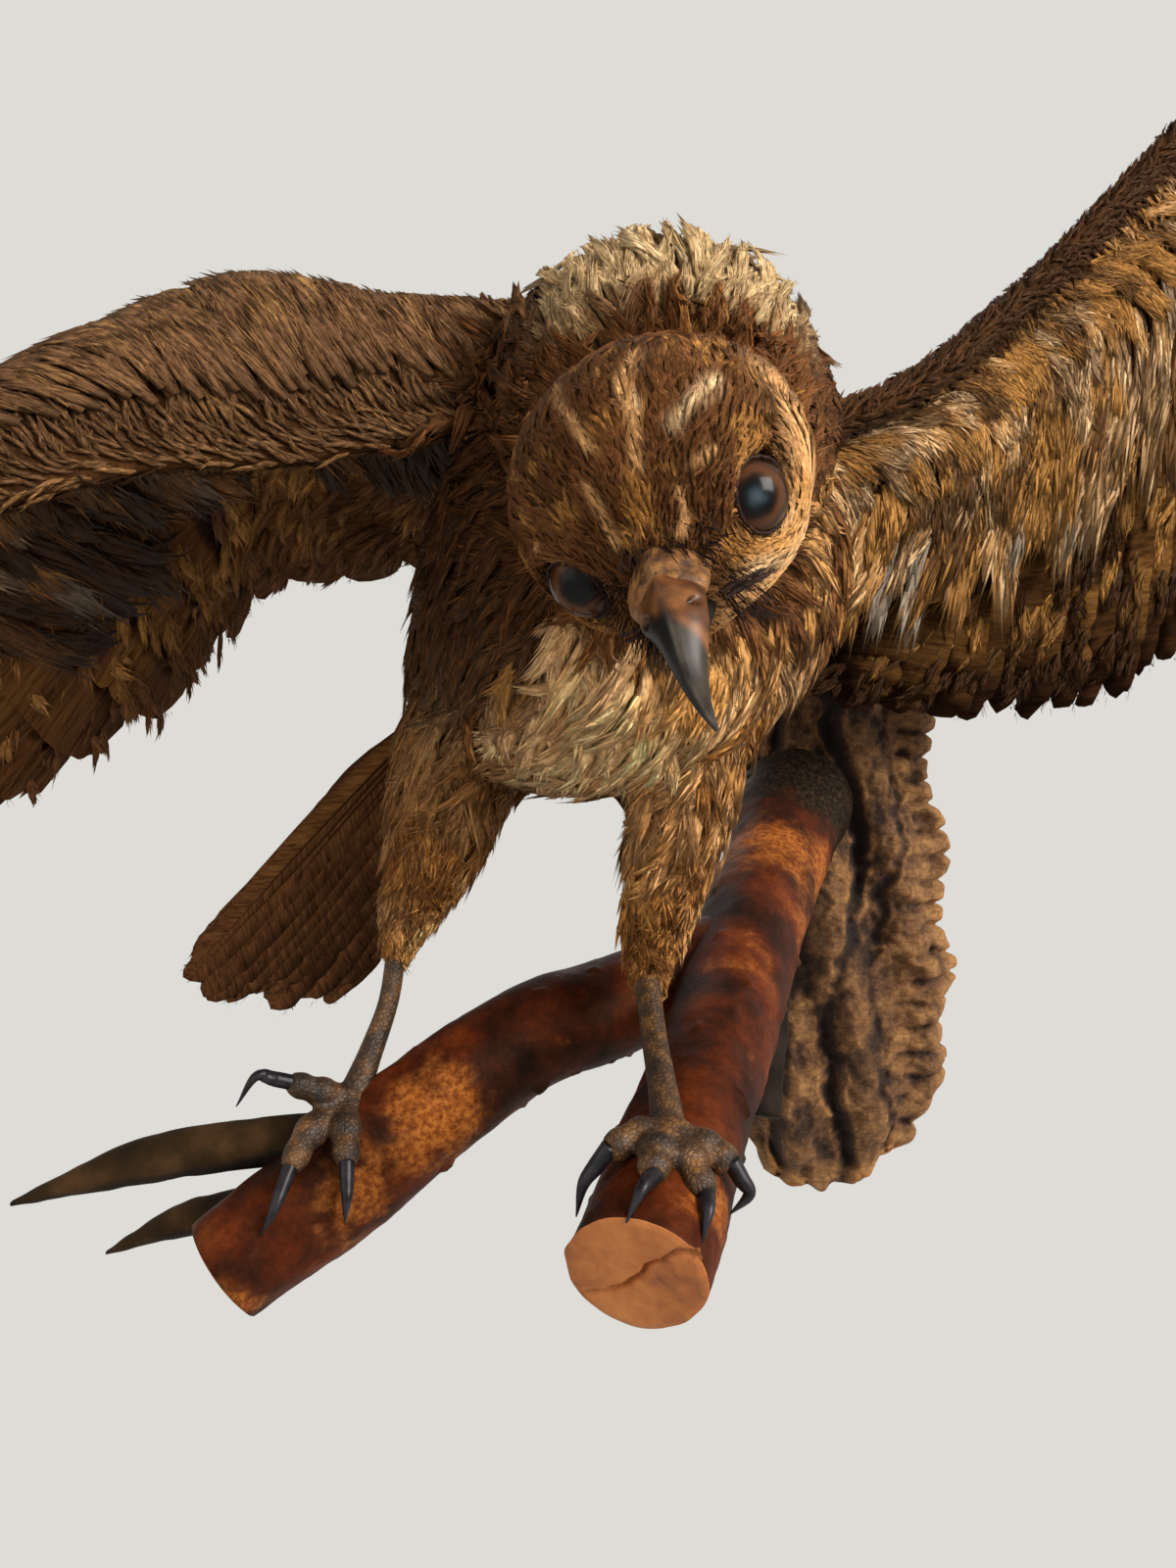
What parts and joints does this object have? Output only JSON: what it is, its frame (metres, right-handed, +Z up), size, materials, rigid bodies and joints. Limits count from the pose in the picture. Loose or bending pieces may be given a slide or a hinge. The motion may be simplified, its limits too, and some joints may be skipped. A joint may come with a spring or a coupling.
{
  "type": "taxidermy buzzard",
  "caption": "Mounted common buzzard with raised wings, standing on a forked branch that is fixed to a slab of bark hung on a wall.",
  "frame": {"origin": "middle of the bark slab's flat back, which lies against the wall", "axes": "+Z up, +Y into the wall, +X to the right of someone who faces the wall; the bird and its branch reach out along -Y"},
  "size_m": [0.9866, 0.3687, 0.5315],
  "materials": {
    "bark": "rough cork-like bark",
    "branch_wood": "varnished thin bark with sawn orange ends",
    "contour_feathers": "matt dry feathers in brown, gold and cream",
    "flight_feathers": "satin dark brown vanes",
    "cere_skin": "dry painted skin",
    "horn": "polished black horn",
    "eye_glass": "clear polished glass over a brown iris",
    "scaled_skin": "dry scaled skin"
  },
  "bodies": {
    "root": {"bark_slab": "bark", "branch_main": "branch_wood", "branch_left": "branch_wood", "spur_upper": "branch_wood", "spur_lower": "branch_wood", "twig_back": "branch_wood", "head": "contour_feathers", "neck": "contour_feathers", "trunk": "contour_feathers", "thigh_left": "contour_feathers", "thigh_right": "contour_feathers", "wing_arm_left": "contour_feathers", "wing_arm_right": "contour_feathers", "wing_hand_left": "contour_feathers", "wing_hand_right": "contour_feathers", "secondaries_left": "flight_feathers", "secondaries_right": "flight_feathers", "primaries_left": "flight_feathers", "primaries_right": "flight_feathers", "tail": "flight_feathers", "cere": "cere_skin", "upper_bill": "horn", "lower_bill": "horn", "eye_left": "eye_glass", "eye_right": "eye_glass", "tarsus_left": "scaled_skin", "tarsus_right": "scaled_skin", "foot_left": "scaled_skin", "foot_right": "scaled_skin", "claw_inner_left": "horn", "claw_middle_left": "horn", "claw_outer_left": "horn", "claw_hind_left": "horn", "claw_inner_right": "horn", "claw_middle_right": "horn", "claw_outer_right": "horn", "claw_hind_right": "horn"}
  },
  "joints": []
}
